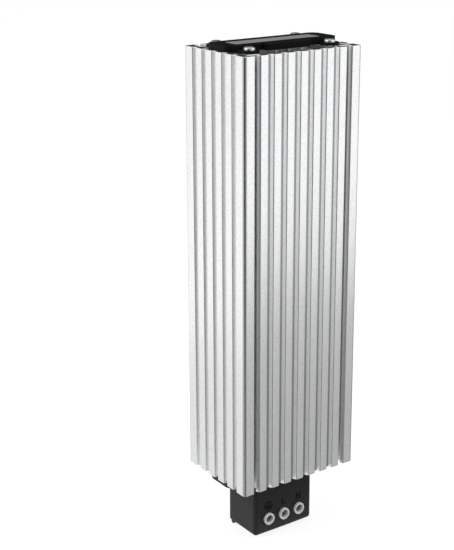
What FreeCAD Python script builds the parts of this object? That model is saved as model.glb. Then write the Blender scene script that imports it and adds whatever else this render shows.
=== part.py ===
import FreeCAD, Part
import math
import os

# A rail-mounted PTC heater for switch cabinets. All sizes are in millimetres.
# Every piece is modelled with zero at the middle of the profile's lower end, the front
# at -Y and the terminals below. export() then moves it so that the rail seat is zero.

# Heatsink profile: one aluminium extrusion standing on end
profile_width = 70.0
profile_depth = 50.0
profile_length = 220.0
profile_corner_radius = 1.2
shell_wall = 3.8

# Grooves along the outside of the profile, evenly spaced between the outermost two of a side
front_groove_count = 8
front_groove_inset = 7.7
side_groove_count = 5
side_groove_inset = 8.6
groove_mouth = 3.4
groove_floor = 1.6
groove_depth = 2.1
groove_mouth_bevel = 0.4

# T-slots that take the place of the outermost front and back grooves
slot_gap = 1.4
slot_lip = 2.05
slot_width = 5.8
slot_depth = 3.0
slot_wall = 1.8

# Core of the profile, with the chamber for the heating stack
core_wall = 3.0
chamber_thickness = 7.0
chamber_end_wall = 8.0
chamber_corner_radius = 0.8

# Fins and screw ports in the two air channels
fin_pitch = 7.8
fin_count = 3
fin_thickness = 1.8
fin_height = 6.5
port_inset = 11.0
port_offset = 7.0
port_radius = 1.6
port_boss_radius = 3.6
port_web = 2.4

# End plates: the top cap and the flange of the terminal housing
plate_inset = 2.0
plate_overhang = 3.25
plate_thickness = 3.0
plate_corner_radius = 4.5
ear_radius = 4.75
ear_thickness = 1.2
tab_width = 26.0
tab_length = 3.95
tab_corner_radius = 1.5
spigot_depth = 5.0
spigot_wall = 1.2
spigot_clearance = 0.2

# Bare plate in the top cap
label_end_margin = 7.5
label_side_margin = 4.75
label_thickness = 0.5
label_recess = 0.6
label_corner_radius = 0.6
label_clearance = 0.1

# Thread-forming screws of both end plates
plate_screw_radius = 1.5
plate_screw_length = 10.0
plate_screw_head_radius = 2.9
plate_screw_head_height = 1.8
screw_hole_clearance = 0.2

# Terminal strip with three poles: earth, L and N
pole_names = ("pe", "l", "n")
pole_pitch = 9.8
pole_width = 8.4
strip_height = 21.0
strip_web = 2.0
strip_floor = 1.5
tower_height = 8.4
tower_radius = 3.15
tower_bore_radius = 2.15
tower_proud = 1.2
tower_clearance = 0.1
wire_entry_radius = 2.4

# Terminal housing below the profile, built round the strip
housing_wall = 2.0
housing_side_gap = 2.6
housing_front_reach = 10.0
housing_back_reach = 14.0
housing_head_room = 8.0
housing_edge_radius = 2.0
housing_bottom_radius = 1.8
housing_chamfer_height = 2.3
housing_nib_inset = 3.2
housing_nib_reach = 2.2
housing_nib_drop = 1.2
housing_nib_end_gap = 0.4
housing_rib = 1.2
lead_slot_margin = 2.4

# Cover that closes the back of the terminal housing
cover_thickness = 2.0
cover_inset = 0.2
cover_ledge = 0.8
cover_clearance = 0.15
cover_rib = 1.6

# Square brass clamp tubes and their slotted screws
tube_width = 6.0
tube_bore_radius = 1.9
tube_length = 19.0
tube_fit = 0.05
clamp_screw_radius = 1.45
clamp_screw_head_radius = 1.95
clamp_screw_head_height = 1.8
clamp_screw_recess = 1.3
clamp_thread_fit = 0.05
screw_slot_width = 0.6
screw_slot_depth = 0.8

# Heating stack: tiles between two electrodes, between two insulators
stack_bottom = 12.0
stack_top_gap = 14.0
insulator_thickness = 0.5
insulator_side_gap = 3.0
insulator_overlap = 2.0
insulator_bottom = 3.0
electrode_thickness = 0.4
electrode_margin = 4.0
electrode_tab_width = 5.0
electrode_tab_bottom = 4.0
tile_count = 5
tile_thickness = 2.2
tile_margin = 2.0
tile_height = 26.0
tile_clearance = 0.2
frame_thickness = 2.0
frame_side_gap = 0.3
leaf_thickness = 0.4
leaf_flat = 5.0
leaf_ramp = 6.0

# Wires from the clamps to the electrodes, and the earth strap
lead_radius = 0.9
ferrule_length = 4.0
lead_lug_width = 4.0
lead_lug_length = 5.0
strap_width = 5.0
strap_thickness = 0.5
strap_leg_width = 3.0
strap_fit = 0.15

# Spring steel clip for a 35 mm rail, on the back of the profile
rail_height = 110.0
rail_width = 35.0
rail_flange = 1.0
rail_clearance = 0.3
clip_thickness = 1.0
clip_base_height = 24.0
clip_bend_radius = 0.4
clip_corner_radius = 2.0
clip_side_margin = 4.3
hook_width = 8.0
hook_overlap = 3.0
tongue_screw_gap = 4.7
tongue_slot = 1.2
tongue_slot_length = 14.0
tongue_drop = 20.5
tongue_reach = 5.5
tongue_nose_reach = 2.4
tongue_nose_rise = 4.3

# Clip screws, in the second groove to each side of the middle
clip_groove_count = 2
clip_screw_radius = 1.4
clip_screw_length = 6.5
clip_screw_head_radius = 2.6
clip_screw_head_height = 1.7
clip_screw_fit = 0.05

# Places and sizes that follow from the sizes above
half_width = profile_width / 2
half_depth = profile_depth / 2
top_z = profile_length


def evenly(reach, count):
    return [reach * (2 * i / (count - 1) - 1) for i in range(count)]


groove_x = evenly(half_width - front_groove_inset, front_groove_count)
groove_y = evenly(half_depth - side_groove_inset, side_groove_count)
clip_screw_x = groove_x[front_groove_count // 2 + clip_groove_count - 1]
core_y = chamber_thickness / 2 + core_wall
port_x = half_width - port_inset
port_y = core_y + port_offset
ports = [(side * port_x, face * port_y) for side in (-1, 1) for face in (-1, 1)]
chamber_half_x = half_width - chamber_end_wall
chamber_front_y = -chamber_thickness / 2
plate_half_x = half_width - plate_inset
plate_half_y = core_y + plate_overhang

stack_top = profile_length - stack_top_gap
insulator_half_x = chamber_half_x - insulator_side_gap
electrode_half_x = insulator_half_x - electrode_margin
tile_half_x = electrode_half_x - tile_margin
front_electrode_y = chamber_front_y + insulator_thickness
tile_front_y = front_electrode_y + electrode_thickness
tile_back_y = tile_front_y + tile_thickness
back_insulator_y = tile_back_y + electrode_thickness
leaf_front_y = back_insulator_y + insulator_thickness
tile_pitch = (stack_top - stack_bottom) / tile_count

pole_y = (tile_front_y + tile_back_y) / 2
pole_x = {name: (i - 1) * pole_pitch for i, name in enumerate(pole_names)}
housing_half_x = pole_pitch + pole_width / 2 + housing_side_gap + housing_wall
housing_front_y = pole_y - housing_front_reach
housing_back_y = pole_y + housing_back_reach
strip_top_z = -plate_thickness - housing_head_room
housing_floor_z = strip_top_z - strip_height
housing_bottom_z = housing_floor_z - housing_wall
cover_seat_y = housing_back_y - cover_inset - cover_thickness
tower_z = housing_bottom_z + tower_height
tower_front_y = housing_front_y - tower_proud
tube_bottom_z = housing_floor_z + strip_floor
tube_top_z = tube_bottom_z + tube_length

clip_half_x = clip_screw_x + clip_side_margin
tongue_half_x = clip_screw_x - tongue_screw_gap
seat_y = half_depth + clip_thickness


def vec(x, y, z=0.0):
    return FreeCAD.Vector(x, y, z)


# A closed wire through (x, y, radius) corners. A radius of 0 leaves the corner sharp, and a
# negative one cuts it straight by that much along both sides.
def corner_wire(corners):
    count = len(corners)
    spans = []
    for i, (x, y, radius) in enumerate(corners):
        here = vec(x, y)
        back = (vec(*corners[i - 1][:2]) - here).normalize()
        ahead = (vec(*corners[(i + 1) % count][:2]) - here).normalize()
        half_angle = back.getAngle(ahead) / 2
        setback = radius / math.tan(half_angle) if radius > 0 else -radius
        inward = (back + ahead).normalize()
        middle = here + inward * (radius / math.sin(half_angle) - radius)
        spans.append((here + back * setback, middle, here + ahead * setback, radius))
    edges = []
    for i, (start, middle, end, radius) in enumerate(spans):
        if radius > 0:
            edges.append(Part.Arc(start, middle, end).toShape())
        elif radius < 0:
            edges.append(Part.LineSegment(start, end).toShape())
        following = spans[(i + 1) % count][0]
        if (following - end).Length > 1e-6:
            edges.append(Part.LineSegment(end, following).toShape())
    return Part.Wire(edges)


def corner_face(corners):
    return Part.Face(corner_wire(corners))


def rectangle(x0, y0, x1, y1, radius=0.0):
    return corner_face([(x0, y0, radius), (x1, y0, radius), (x1, y1, radius), (x0, y1, radius)])


def disc(x, y, radius):
    return Part.Face(Part.Wire(Part.makeCircle(radius, vec(x, y))))


def box(x0, x1, y0, y1, z0, z1):
    return Part.makeBox(x1 - x0, y1 - y0, z1 - z0, vec(x0, y0, z0))


# A prism over an outline in X and Y, from z0 to z1.
def upright(face, z0, z1):
    prism = face.extrude(vec(0, 0, z1 - z0))
    prism.translate(vec(0, 0, z0))
    return prism


# A prism over an outline in Y and Z, from x0 to x1.
def crosswise(face, x0, x1):
    prism = face.extrude(vec(0, 0, x1 - x0))
    prism.rotate(vec(0, 0), vec(1, 1, 1), 120)
    prism.translate(vec(x0, 0, 0))
    return prism


# A prism over an outline in X and Z, from y0 to y1.
def fore_and_aft(face, y0, y1):
    prism = face.extrude(vec(0, 0, y1 - y0))
    prism.rotate(vec(0, 0), vec(1, 0, 0), 90)
    prism.translate(vec(0, y1, 0))
    return prism


def rod_z(x, y, z0, z1, radius):
    return Part.makeCylinder(radius, z1 - z0, vec(x, y, z0))


def rod_y(x, z, y0, y1, radius):
    return Part.makeCylinder(radius, y1 - y0, vec(x, y0, z), vec(0, 1, 0))


def fused(shapes):
    first, *rest = shapes
    return first.multiFuse(rest).removeSplitter() if rest else first


# Outline corners of a bent strip: the path is its middle line, and each bend keeps the thickness.
def strip_corners(path, thickness, bend_radius):
    sides = {1: [], -1: []}
    last = len(path) - 1
    for i, point in enumerate(path):
        here = vec(*point)
        back = (here - vec(*path[i - 1])).normalize() if i > 0 else None
        ahead = (vec(*path[i + 1]) - here).normalize() if i < last else None
        before = back or ahead
        after = ahead or back
        left_before = vec(-before.y, before.x)
        left_after = vec(-after.y, after.x)
        miter = (left_before + left_after) * (thickness / 2 / (1 + left_before.dot(left_after)))
        turn = before.x * after.y - before.y * after.x
        for side in (1, -1):
            outer = turn * side < 0
            bent = bend_radius > 0 and 0 < i < last
            radius = bend_radius + (thickness if outer else 0.0) if bent else 0.0
            corner = here + miter * side
            sides[side].append((corner.x, corner.y, radius))
    return sides[1] + sides[-1][::-1]


# A screw with its head's underside at zero, head up, shank down.
def screw(radius, length, head_radius, head_height):
    shank = Part.makeCylinder(radius, length, vec(0, 0, -length))
    return shank.fuse(Part.makeCylinder(head_radius, head_height))


# Corner points of one side of the profile, s along the side and d inward from its face.
def side_corners(half_side, places, slotted):
    corners = [(-half_side, 0.0, profile_corner_radius)]
    for place in places:
        mouth = (groove_mouth / 2, 0.0, -groove_mouth_bevel)
        if place in slotted:
            half = [mouth,
                    (slot_gap / 2, slot_lip, 0.0),
                    (slot_width / 2, slot_lip, 0.0),
                    (slot_width / 2, slot_lip + slot_depth, 0.0)]
        else:
            half = [mouth, (groove_floor / 2, groove_depth, 0.0)]
        corners += [(place - s, d, r) for s, d, r in half]
        corners += [(place + s, d, r) for s, d, r in reversed(half)]
    return corners


# The air channel behind the front wall, without the fins, webs, ports and T-slot blocks in it.
def channel_face():
    inner_x = half_width - shell_wall
    inner_y = half_depth - shell_wall
    block_x = groove_x[-1] - slot_width / 2 - slot_wall
    block_y = half_depth - slot_lip - slot_depth - slot_wall
    solid = []
    for side in (-1, 1):
        block = sorted((side * block_x, side * inner_x))
        web = side * port_x
        solid.append(rectangle(block[0], -inner_y, block[1], -block_y))
        solid.append(rectangle(web - port_web / 2, -inner_y, web + port_web / 2, -core_y))
        solid.append(disc(web, -port_y, port_boss_radius))
    for i in range(fin_count):
        x = (i - (fin_count - 1) / 2) * fin_pitch
        solid.append(rectangle(x - fin_thickness / 2, -core_y - fin_height, x + fin_thickness / 2, -core_y))
    return rectangle(-inner_x, -inner_y, inner_x, -core_y).cut(solid)


def heatsink_profile():
    slots = (groove_x[0], groove_x[-1])
    front = side_corners(half_width, groove_x, slots)
    side = side_corners(half_depth, groove_y, ())
    corners = [(s, d - half_depth, r) for s, d, r in front]
    corners += [(half_width - d, s, r) for s, d, r in side]
    corners += [(-s, half_depth - d, r) for s, d, r in front]
    corners += [(d - half_width, -s, r) for s, d, r in side]
    front_channel = channel_face()
    back_channel = front_channel.copy()
    back_channel.rotate(vec(0, 0), vec(0, 0, 1), 180)
    chamber = rectangle(-chamber_half_x, chamber_front_y, chamber_half_x, -chamber_front_y,
                        chamber_corner_radius)
    holes = [front_channel, back_channel, chamber] + [disc(x, y, port_radius) for x, y in ports]
    body = upright(corner_face(corners).cut(holes).Faces[0], 0, top_z)
    pilot = clip_screw_radius + clip_screw_fit
    channel_y = half_depth - shell_wall - clip_screw_fit
    return body.cut([rod_y(x, rail_height, channel_y, half_depth, pilot)
                     for x in (-clip_screw_x, clip_screw_x)])


# The bar of an end plate, its inner face at z = 0.
def plate_bar():
    return upright(rectangle(-plate_half_x, -plate_half_y, plate_half_x, plate_half_y,
                             plate_corner_radius), 0, plate_thickness)


# The thin round ears that carry an end plate's screws.
def plate_ears():
    ears = []
    for x, y in ports:
        outer = math.copysign(abs(y) + ear_radius, y)
        face = corner_face([(x - ear_radius, 0, 0), (x + ear_radius, 0, 0),
                            (x + ear_radius, outer, ear_radius), (x - ear_radius, outer, ear_radius)])
        ears.append(upright(face, 0, ear_thickness))
    return ears


def ear_holes(z0, z1):
    return [rod_z(x, y, z0, z1, plate_screw_radius + screw_hole_clearance) for x, y in ports]


def top_cap():
    tab_front = -plate_half_y - tab_length
    tab = upright(corner_face([(-tab_width / 2, 0, 0), (-tab_width / 2, tab_front, tab_corner_radius),
                               (tab_width / 2, tab_front, tab_corner_radius), (tab_width / 2, 0, 0)]),
                  0, plate_thickness)
    half_x = chamber_half_x - spigot_clearance
    half_y = chamber_thickness / 2 - spigot_clearance
    spigot = upright(rectangle(-half_x, -half_y, half_x, half_y, chamber_corner_radius), -spigot_depth, 0)
    hollow_x = half_x - spigot_wall
    hollow_y = half_y - spigot_wall
    hollow = box(-hollow_x, hollow_x, -hollow_y, hollow_y, -spigot_depth, 0)
    recess_x = plate_half_x - label_end_margin
    recess_y = plate_half_y - label_side_margin
    recess = upright(rectangle(-recess_x, -recess_y, recess_x, recess_y, label_corner_radius),
                     plate_thickness - label_recess, plate_thickness)
    body = fused([plate_bar(), tab, *plate_ears(), spigot.cut(hollow)])
    body = body.cut([recess, *ear_holes(0, ear_thickness)])
    body.translate(vec(0, 0, top_z))
    return body


def label_plate():
    half_x = plate_half_x - label_end_margin - label_clearance
    half_y = plate_half_y - label_side_margin - label_clearance
    bottom = top_z + plate_thickness - label_recess
    return upright(rectangle(-half_x, -half_y, half_x, half_y, label_corner_radius),
                   bottom, bottom + label_thickness)


def plate_screw():
    return screw(plate_screw_radius, plate_screw_length, plate_screw_head_radius, plate_screw_head_height)


def top_cap_screws():
    group = []
    for x, y in ports:
        piece = plate_screw()
        piece.translate(vec(x, y, top_z + ear_thickness))
        group.append(piece)
    return Part.makeCompound(group)


def housing_screws():
    group = []
    for x, y in ports:
        piece = plate_screw()
        piece.rotate(vec(0, 0), vec(1, 0, 0), 180)
        piece.translate(vec(x, y, -ear_thickness))
        group.append(piece)
    return Part.makeCompound(group)


# The closed outer form of the terminal housing, rounded in plan and at its bottom edges, with a
# chamfer at the back edge and a nib in front of it.
def housing_block():
    half_x = housing_half_x
    bottom = housing_bottom_z
    nib_y = housing_back_y - housing_nib_inset
    nib_z = bottom - housing_nib_drop
    slope = housing_nib_inset / (housing_chamfer_height + housing_nib_drop)
    chamfer_y = nib_y + slope * housing_nib_drop
    side_view = corner_face([(housing_front_y, 0, 0), (housing_back_y, 0, 0),
                             (housing_back_y, bottom + housing_chamfer_height, 0),
                             (chamfer_y, bottom, 0),
                             (housing_front_y, bottom, housing_bottom_radius)])
    front_view = corner_face([(-half_x, 0, 0), (half_x, 0, 0), (half_x, bottom, housing_bottom_radius),
                              (-half_x, bottom, housing_bottom_radius)])
    plan = rectangle(-half_x, housing_front_y, half_x, housing_back_y, housing_edge_radius)
    block = upright(plan, bottom, 0).common(crosswise(side_view, -half_x, half_x))
    block = block.common(fore_and_aft(front_view, housing_front_y, housing_back_y))
    foot_z = bottom + housing_wall / 2
    nib = corner_face([(nib_y - housing_nib_reach, bottom, 0), (nib_y, nib_z, 0), (chamfer_y, bottom, 0),
                       (chamfer_y, foot_z, 0), (nib_y - housing_nib_reach, foot_z, 0)])
    nib_half = half_x - housing_nib_end_gap
    return block.fuse(crosswise(nib, -nib_half, nib_half))


# The two legs of the earth strap's flat part: along the chamber, then out to the screw.
def strap_legs(margin):
    half = strap_width / 2 + margin
    far_x = -port_x - half
    along = box(far_x, pole_x["pe"] + half, pole_y - half, pole_y + half, -strap_thickness, 0)
    across = box(far_x, far_x + 2 * half, -port_y - half, pole_y + half, -strap_thickness, 0)
    return [along, across]


def terminal_housing():
    flange = fused([plate_bar(), *plate_ears()])
    flange.rotate(vec(0, 0), vec(1, 0, 0), 180)
    body = fused([flange, housing_block()])
    inner_x = housing_half_x - housing_wall
    inner_front = housing_front_y + housing_wall
    ceiling = -plate_thickness
    cavity = box(-inner_x, inner_x, inner_front, housing_back_y, housing_floor_z, ceiling)
    ledges = [box(x, x + cover_ledge, cover_seat_y - housing_wall, cover_seat_y, housing_floor_z, ceiling)
              for x in (-inner_x, inner_x - cover_ledge)]
    ribs = [box(x - housing_rib / 2, x + housing_rib / 2, inner_front, pole_y - strip_web / 2,
                housing_floor_z, strip_top_z) for x in (-pole_pitch / 2, pole_pitch / 2)]
    slot_half = pole_pitch + lead_slot_margin
    slot = box(-slot_half, slot_half, pole_y - lead_slot_margin, pole_y + lead_slot_margin, ceiling, 0)
    holes = [rod_y(x, tower_z, housing_front_y, inner_front, tower_radius + tower_clearance)
             for x in pole_x.values()]
    holes += [rod_z(x, pole_y, housing_bottom_z, housing_floor_z, wire_entry_radius)
              for x in pole_x.values()]
    body = body.cut([cavity, slot, *holes, *strap_legs(strap_fit), *ear_holes(-ear_thickness, 0)])
    return fused([body, *ledges, *ribs])


def housing_cover():
    half_x = housing_half_x - housing_wall - cover_clearance
    bottom = housing_floor_z + cover_clearance
    top = -plate_thickness - cover_clearance
    plate = box(-half_x, half_x, cover_seat_y, cover_seat_y + cover_thickness, bottom, top)
    strip_back = pole_y + pole_width / 2
    ribs = [box(x - cover_rib / 2, x + cover_rib / 2, strip_back, cover_seat_y, tube_bottom_z, strip_top_z)
            for x in pole_x.values()]
    return fused([plate, *ribs])


def terminal_strip():
    half = pole_width / 2
    web = strip_web / 2
    pocket = tube_width / 2 + tube_fit
    body = box(-pole_pitch, pole_pitch, pole_y - web, pole_y + web, housing_floor_z, strip_top_z)
    poles = []
    for x in pole_x.values():
        poles.append(box(x - half, x + half, pole_y - half, pole_y + half, housing_floor_z, strip_top_z))
        poles.append(rod_y(x, tower_z, tower_front_y, pole_y, tower_radius))
    body = fused([body, *poles])
    for x in pole_x.values():
        body = body.cut([
            box(x - pocket, x + pocket, pole_y - pocket, pole_y + pocket, tube_bottom_z, strip_top_z),
            rod_z(x, pole_y, housing_floor_z, tube_bottom_z, wire_entry_radius),
            rod_y(x, tower_z, tower_front_y, pole_y, tower_bore_radius),
        ])
    return body


def clamp_tube(x):
    half = tube_width / 2
    tube = box(x - half, x + half, pole_y - half, pole_y + half, tube_bottom_z, tube_top_z)
    return tube.cut([
        rod_z(x, pole_y, tube_bottom_z, tube_top_z, tube_bore_radius),
        rod_y(x, tower_z, pole_y - half, pole_y, clamp_screw_radius + clamp_thread_fit),
    ])


# A slotted clamp screw in its tower, its tip at the wall of the tube's bore.
def clamp_screw(x):
    head_y = tower_front_y + clamp_screw_recess + clamp_screw_head_height
    tip_y = pole_y - tube_bore_radius
    top = clamp_screw_head_height
    slot = box(-clamp_screw_head_radius, clamp_screw_head_radius, -screw_slot_width / 2,
               screw_slot_width / 2, top - screw_slot_depth, top)
    piece = screw(clamp_screw_radius, tip_y - head_y, clamp_screw_head_radius, top).cut(slot)
    piece.rotate(vec(0, 0), vec(1, 0, 0), 90)
    piece.translate(vec(x, head_y, tower_z))
    return piece


# A wire from the upper end of a clamp tube, where a ferrule holds it, to a lug on an electrode.
def lead(x, face_y):
    lug_top = electrode_tab_bottom + lead_lug_length
    near, far = sorted((pole_y, face_y))
    ferrule = rod_z(x, pole_y, tube_top_z - ferrule_length, tube_top_z, tube_bore_radius - tube_fit)
    wire = rod_z(x, pole_y, tube_top_z, lug_top, lead_radius)
    lug = box(x - lead_lug_width / 2, x + lead_lug_width / 2, near, far, electrode_tab_bottom, lug_top)
    return fused([wire, ferrule, lug])


def earth_strap():
    x = pole_x["pe"]
    leg = box(x - strap_leg_width / 2, x + strap_leg_width / 2, pole_y - strap_thickness / 2,
              pole_y + strap_thickness / 2, tube_top_z - ferrule_length, 0)
    body = fused([*strap_legs(0), leg])
    hole = rod_z(-port_x, -port_y, -strap_thickness, 0, plate_screw_radius + screw_hole_clearance)
    return body.cut(hole)


def insulator(y0):
    return box(-insulator_half_x, insulator_half_x, y0, y0 + insulator_thickness,
               insulator_bottom, stack_top + insulator_overlap)


# An electrode strip with a tab that reaches down to its lead's lug.
def electrode(y0, tab_x):
    half_tab = electrode_tab_width / 2
    strip = box(-electrode_half_x, electrode_half_x, y0, y0 + electrode_thickness, stack_bottom, stack_top)
    tab = box(tab_x - half_tab, tab_x + half_tab, y0, y0 + electrode_thickness,
              electrode_tab_bottom, stack_bottom)
    return fused([strip, tab])


def ptc_tile(index, margin=0.0):
    half_x = tile_half_x + margin
    half_z = tile_height / 2 + margin
    z = stack_bottom + tile_pitch * (index + 0.5)
    return box(-half_x, half_x, tile_front_y, tile_back_y, z - half_z, z + half_z)


def tile_frame():
    half_x = chamber_half_x - frame_side_gap
    plate = box(-half_x, half_x, tile_front_y, tile_front_y + frame_thickness, stack_bottom, stack_top)
    return plate.cut([ptc_tile(i, tile_clearance) for i in range(tile_count)])


# A wavy leaf spring, as wide as the tiles, that presses the stack to the front of the chamber.
def pressure_leaf():
    low = leaf_front_y + leaf_thickness / 2
    high = -chamber_front_y - leaf_thickness / 2
    wave = leaf_flat + leaf_ramp
    path = []
    for i in range(int((stack_top - stack_bottom - leaf_flat) / wave) + 1):
        y = high if i % 2 else low
        start = stack_bottom + i * wave
        path += [(y, start), (y, start + leaf_flat)]
    face = corner_face(strip_corners(path, leaf_thickness, 0.0))
    return crosswise(face, -tile_half_x, tile_half_x)


# The clip: a base plate, two fixed hooks above the rail and a springy tongue below it.
def rail_clip():
    base_y = half_depth + clip_thickness / 2
    half_base = clip_base_height / 2
    hook_y = seat_y + rail_flange + rail_clearance + clip_thickness / 2
    hook_z = rail_width / 2 + rail_clearance + clip_thickness / 2
    lip_z = rail_width / 2 - hook_overlap
    hook_path = [(base_y, 0), (base_y, hook_z), (hook_y, hook_z), (hook_y, lip_z)]
    heel_y = seat_y + tongue_reach - clip_thickness / 2
    tongue_path = [(base_y, 0), (base_y, -tongue_drop), (heel_y, -tongue_drop),
                   (heel_y - tongue_nose_reach, tongue_nose_rise - tongue_drop)]
    plate = fore_and_aft(rectangle(-clip_half_x, -half_base, clip_half_x, half_base, clip_corner_radius),
                         half_depth, seat_y)
    slots = [box(x, x + tongue_slot, half_depth, seat_y, -half_base, tongue_slot_length - half_base)
             for x in (-tongue_half_x - tongue_slot, tongue_half_x)]
    hook_face = corner_face(strip_corners(hook_path, clip_thickness, clip_bend_radius))
    tongue_face = corner_face(strip_corners(tongue_path, clip_thickness, clip_bend_radius))
    body = fused([plate.cut(slots),
                  crosswise(hook_face, -clip_half_x, hook_width - clip_half_x),
                  crosswise(hook_face, clip_half_x - hook_width, clip_half_x),
                  crosswise(tongue_face, -tongue_half_x, tongue_half_x)])
    body = body.cut([rod_y(x, 0, half_depth, seat_y, clip_screw_radius + screw_hole_clearance)
                     for x in (-clip_screw_x, clip_screw_x)])
    body.translate(vec(0, 0, rail_height))
    return body


def clip_screws():
    group = []
    for x in (-clip_screw_x, clip_screw_x):
        piece = screw(clip_screw_radius, clip_screw_length, clip_screw_head_radius, clip_screw_head_height)
        piece.rotate(vec(0, 0), vec(1, 0, 0), -90)
        piece.translate(vec(x, seat_y, rail_height))
        group.append(piece)
    return Part.makeCompound(group)


# Moves a piece so that the rail seat is zero, and writes it.
def export(shape, name):
    placed = shape.copy()
    placed.translate(vec(0, -seat_y, -rail_height))
    placed.exportStep("parts/" + name + ".step")


os.makedirs("parts", exist_ok=True)
export(heatsink_profile(), "heatsink_profile")
export(top_cap(), "top_cap")
export(label_plate(), "label_plate")
export(top_cap_screws(), "top_cap_screws")
export(terminal_housing(), "terminal_housing")
export(housing_cover(), "housing_cover")
export(housing_screws(), "housing_screws")
export(terminal_strip(), "terminal_strip")
for pole, x in pole_x.items():
    export(clamp_tube(x), "clamp_tube_" + pole)
    export(clamp_screw(x), "clamp_screw_" + pole)
export(lead(pole_x["l"], tile_front_y), "lead_l")
export(lead(pole_x["n"], tile_back_y), "lead_n")
export(earth_strap(), "earth_strap")
export(insulator(chamber_front_y), "insulator_front")
export(electrode(front_electrode_y, pole_x["l"]), "electrode_front")
for i in range(tile_count):
    export(ptc_tile(i), "ptc_tile_" + str(i + 1))
export(tile_frame(), "tile_frame")
export(electrode(tile_back_y, pole_x["n"]), "electrode_back")
export(insulator(back_insulator_y), "insulator_back")
export(pressure_leaf(), "pressure_leaf")
export(rail_clip(), "rail_clip")
export(clip_screws(), "clip_screws")
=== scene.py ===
import math
import bmesh
import bpy
from mathutils import Matrix, Vector


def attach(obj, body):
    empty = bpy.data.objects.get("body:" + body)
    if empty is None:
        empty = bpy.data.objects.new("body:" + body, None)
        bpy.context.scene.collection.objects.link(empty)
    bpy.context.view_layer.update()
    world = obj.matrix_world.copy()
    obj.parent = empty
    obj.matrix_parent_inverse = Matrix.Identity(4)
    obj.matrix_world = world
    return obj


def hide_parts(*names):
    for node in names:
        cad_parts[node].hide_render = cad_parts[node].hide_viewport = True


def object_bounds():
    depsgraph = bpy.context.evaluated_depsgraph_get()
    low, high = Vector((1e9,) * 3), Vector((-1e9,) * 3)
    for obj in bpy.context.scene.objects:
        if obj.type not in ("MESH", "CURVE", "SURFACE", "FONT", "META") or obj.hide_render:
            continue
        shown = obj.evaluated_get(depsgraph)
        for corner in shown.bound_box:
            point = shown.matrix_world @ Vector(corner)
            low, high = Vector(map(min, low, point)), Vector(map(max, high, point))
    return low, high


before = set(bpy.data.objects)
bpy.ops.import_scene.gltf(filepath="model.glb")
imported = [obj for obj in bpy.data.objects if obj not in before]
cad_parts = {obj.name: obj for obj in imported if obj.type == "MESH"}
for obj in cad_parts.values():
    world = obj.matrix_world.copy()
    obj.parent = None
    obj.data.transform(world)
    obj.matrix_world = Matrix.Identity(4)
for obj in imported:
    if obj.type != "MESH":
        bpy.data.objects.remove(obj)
cad_low, cad_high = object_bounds()
scene = bpy.context.scene
scene.view_settings.view_transform = "Standard"
MM = 0.001

# The camera stands in front and to the left, a little above the heater. Its place, tilt and
# small roll come from fitting the straight edges of the photograph to the real sizes.
camera_place = Vector((-359.947, -503.824, 190.829)) * MM
camera_forward = Vector((0.55052, 0.79118, -0.26640)).normalized()
camera_roll = math.radians(-0.24)
level_right = camera_forward.cross(Vector((0, 0, 1))).normalized()
level_up = level_right.cross(camera_forward)
camera_right = level_right * math.cos(camera_roll) + level_up * math.sin(camera_roll)
camera_up = level_up * math.cos(camera_roll) - level_right * math.sin(camera_roll)
camera = bpy.data.objects.new("camera", bpy.data.cameras.new("camera"))
camera.data.sensor_width = 36.0
camera.data.lens = 81.10
camera.data.shift_y = -0.1109
camera.data.clip_start = 0.01
camera.data.clip_end = 20.0
camera.matrix_world = Matrix((
    (camera_right.x, camera_up.x, -camera_forward.x, camera_place.x),
    (camera_right.y, camera_up.y, -camera_forward.y, camera_place.y),
    (camera_right.z, camera_up.z, -camera_forward.z, camera_place.z),
    (0, 0, 0, 1)))
scene.collection.objects.link(camera)
scene.camera = camera


# The studio: a white surround, a pale floor, two soft lamps, and grey cards that only gloss
# shows. The cards give the metal its dark edges and cut ends, and its darker lower front.
def add_node(tree, kind, **settings):
    node = tree.nodes.new(kind)
    for key, value in settings.items():
        setattr(node, key, value)
    return node


def join(tree, *pairs):
    for output, socket in pairs:
        tree.links.new(output, socket)


# The strength of a surround: one value where it is seen, directly or in gloss, another as light.
def seen_strength(tree, seen, light):
    rays = add_node(tree, "ShaderNodeLightPath")
    mirrored = add_node(tree, "ShaderNodeMath", operation="MAXIMUM")
    either = add_node(tree, "ShaderNodeMath", operation="MAXIMUM")
    strength = add_node(tree, "ShaderNodeMapRange")
    strength.inputs["To Min"].default_value = light
    strength.inputs["To Max"].default_value = seen
    join(tree, (rays.outputs["Is Glossy Ray"], mirrored.inputs[0]),
         (rays.outputs["Is Transmission Ray"], mirrored.inputs[1]),
         (rays.outputs["Is Camera Ray"], either.inputs[0]),
         (mirrored.outputs[0], either.inputs[1]),
         (either.outputs[0], strength.inputs["Value"]))
    return strength.outputs["Result"]


def sheet_object(name, corners):
    mesh = bpy.data.meshes.new(name)
    mesh.from_pydata(corners, [], [(0, 1, 2, 3)])
    piece = bpy.data.objects.new(name, mesh)
    scene.collection.objects.link(piece)
    return piece


world = bpy.data.worlds.new("surround")
scene.world = world
world.use_nodes = True
background = world.node_tree.nodes["Background"]
background.inputs["Color"].default_value = (1, 1, 1, 1)
join(world.node_tree, (seen_strength(world.node_tree, 1.0, 0.55), background.inputs["Strength"]))

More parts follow.
